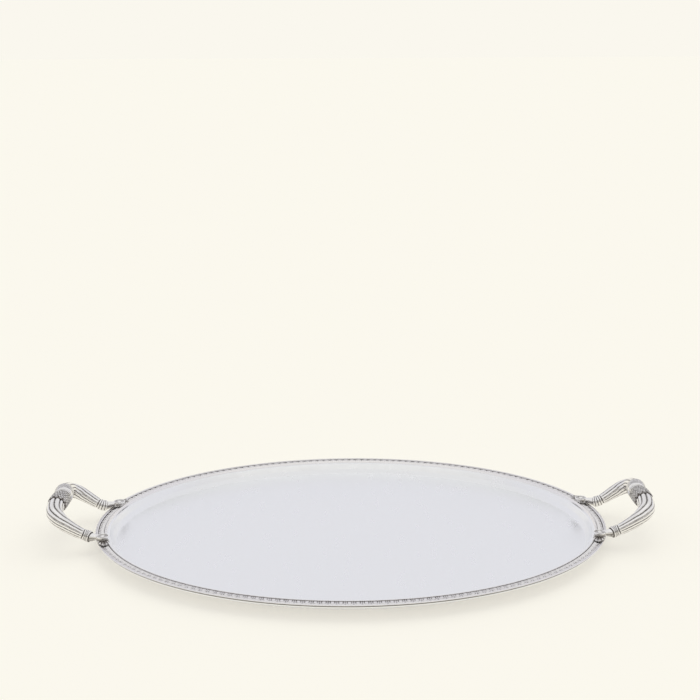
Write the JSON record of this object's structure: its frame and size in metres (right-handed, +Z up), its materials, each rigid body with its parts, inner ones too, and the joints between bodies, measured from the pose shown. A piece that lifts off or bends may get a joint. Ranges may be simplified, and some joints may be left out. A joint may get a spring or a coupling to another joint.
{
  "type": "serving tray",
  "caption": "Oval silver-plated serving tray with a plain sunken well, an ornamental border and a raised reeded handle at each end.",
  "frame": {"origin": "centre of the flat underside of the well, on the surface that the tray stands on", "axes": "+X along the tray's length towards the right handle, +Y towards the rear long side, +Z up"},
  "size_m": [0.6358, 0.416, 0.053],
  "materials": {
    "tray_silver": "mirror-polished silver plate on a pressed sheet, with faint wipe marks",
    "border_silver": "silver plate, polished on the high points and darker in the recesses of the relief",
    "handle_silver": "polished silver-plated casting with darkened grooves",
    "fixing_metal": "dull plated steel fixings under the rim"
  },
  "bodies": {
    "root": {"tray_body": "tray_silver", "border_outer_wire": "border_silver", "border_frieze": "border_silver", "border_inner_bead": "border_silver", "right_centre_ring": "handle_silver", "right_rear_arm": "handle_silver", "right_rear_collar": "handle_silver", "right_rear_leaf_sleeve": "handle_silver", "right_rear_terminal": "handle_silver", "right_rear_eye_button": "handle_silver", "right_rear_screw": "fixing_metal", "right_rear_washer": "fixing_metal", "right_front_arm": "handle_silver", "right_front_collar": "handle_silver", "right_front_leaf_sleeve": "handle_silver", "right_front_terminal": "handle_silver", "right_front_eye_button": "handle_silver", "right_front_screw": "fixing_metal", "right_front_washer": "fixing_metal", "left_centre_ring": "handle_silver", "left_rear_arm": "handle_silver", "left_rear_collar": "handle_silver", "left_rear_leaf_sleeve": "handle_silver", "left_rear_terminal": "handle_silver", "left_rear_eye_button": "handle_silver", "left_rear_screw": "fixing_metal", "left_rear_washer": "fixing_metal", "left_front_arm": "handle_silver", "left_front_collar": "handle_silver", "left_front_leaf_sleeve": "handle_silver", "left_front_terminal": "handle_silver", "left_front_eye_button": "handle_silver", "left_front_screw": "fixing_metal", "left_front_washer": "fixing_metal"}
  },
  "joints": []
}
